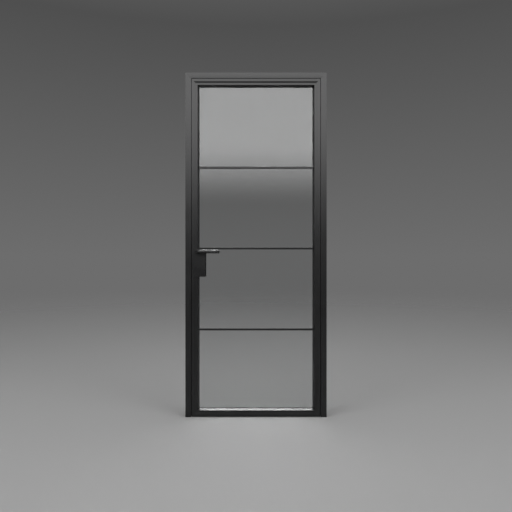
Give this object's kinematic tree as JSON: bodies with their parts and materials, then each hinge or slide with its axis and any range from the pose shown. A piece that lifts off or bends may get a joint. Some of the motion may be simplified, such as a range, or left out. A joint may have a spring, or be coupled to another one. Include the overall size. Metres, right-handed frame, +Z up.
{
  "type": "glazed door with frame",
  "caption": "Single glazed door leaf in a slim three-sided metal frame, with horizontal glazing bars, lever handles, a latch lock and rear hinges.",
  "frame": {"origin": "bottom centre of the whole door: midway between the jambs, in the middle of the leaf's depth, on the floor", "axes": "+X along the width from the latch side to the hinge side, +Y through the depth towards the side that the leaf opens to, +Z up"},
  "size_m": [0.865, 0.173, 2.11],
  "materials": {
    "black_metal": "satin",
    "black_fittings": "satin",
    "raw_aluminium": "matte",
    "clear_glass": "gloss",
    "black_rubber": "matte",
    "black_plastic": "matte",
    "grey_plastic": "matte",
    "plated_steel": "satin",
    "stainless_steel": "satin",
    "black_screws": "satin",
    "spring_steel": "gloss"
  },
  "bodies": {
    "frame": {"hinge_jamb": "black_metal", "latch_jamb": "black_metal", "frame_head": "black_metal", "frame_corner_cleats": "raw_aluminium", "frame_seal": "black_rubber", "strike_plate": "stainless_steel", "strike_screws": "stainless_steel", "frame_hinge_screws": "black_screws", "hinge_pins": "stainless_steel", "hinge_washers": "stainless_steel", "bottom_hinge_frame_half": "black_fittings", "middle_hinge_frame_half": "black_fittings", "top_hinge_frame_half": "black_fittings"},
    "leaf": {"hinge_stile": "black_metal", "latch_stile": "black_metal", "top_rail": "black_metal", "bottom_rail": "black_metal", "leaf_corner_cleats": "raw_aluminium", "glass_pane": "clear_glass", "front_gasket": "black_rubber", "rear_gasket": "black_rubber", "notch_gasket": "black_rubber", "setting_blocks": "grey_plastic", "side_blocks": "grey_plastic", "top_bead": "black_metal", "bottom_bead": "black_metal", "hinge_side_bead": "black_metal", "latch_side_lower_bead": "black_metal", "latch_side_upper_bead": "black_metal", "lock_box": "black_metal", "lock_box_screws": "plated_steel", "front_lock_plate": "black_fittings", "rear_lock_plate": "black_fittings", "lock_plate_screws": "black_screws", "front_bush": "black_plastic", "rear_bush": "black_plastic", "lock_case": "plated_steel", "lock_cover": "plated_steel", "forend": "stainless_steel", "forend_screws": "stainless_steel", "forend_blocks": "raw_aluminium", "rocker_pin": "plated_steel", "latch_spring": "spring_steel", "leaf_hinge_screws": "black_screws", "front_lower_bar": "black_metal", "rear_lower_bar": "black_metal", "front_middle_bar": "black_metal", "rear_middle_bar": "black_metal", "front_upper_bar": "black_metal", "rear_upper_bar": "black_metal", "bottom_hinge_leaf_half": "black_fittings", "middle_hinge_leaf_half": "black_fittings", "top_hinge_leaf_half": "black_fittings"},
    "handles": {"front_lever": "black_fittings", "rear_lever": "black_fittings", "lever_grub_screws": "black_screws", "spindle": "plated_steel", "follower": "plated_steel"},
    "rocker": {"rocker": "plated_steel"},
    "latch": {"latch_bolt": "stainless_steel"}
  },
  "joints": [
    {"name": "leaf_swing", "type": "hinge", "parent": "frame", "child": "leaf", "pos_m": [0.41075, 0.038, 1.055], "axis": [0, 0, -1], "range_deg": [0, 110]},
    {"name": "handle_turn", "type": "hinge", "parent": "leaf", "child": "handles", "pos_m": [-0.359, 0, 1.014], "axis": [0, 1, 0], "range_deg": [0, 40], "stiffness_Nm_per_rad": 1.6, "springref_deg": -28.65},
    {"name": "rocker_turn", "type": "hinge", "parent": "leaf", "child": "rocker", "pos_m": [-0.359, 0.0135, 0.986], "axis": [0, 1, 0], "range_deg": [-29.8, 0]},
    {"name": "latch_slide", "type": "slide", "parent": "leaf", "child": "latch", "axis": [1, 0, 0], "range_m": [0, 0.011], "deforming": ["latch_spring"]}
  ],
  "couplings": [
    {"joint": "rocker_turn", "follows": "handle_turn", "ratio": -0.74317},
    {"joint": "latch_slide", "follows": "handle_turn", "m_per_rad": 0.015756}
  ]
}
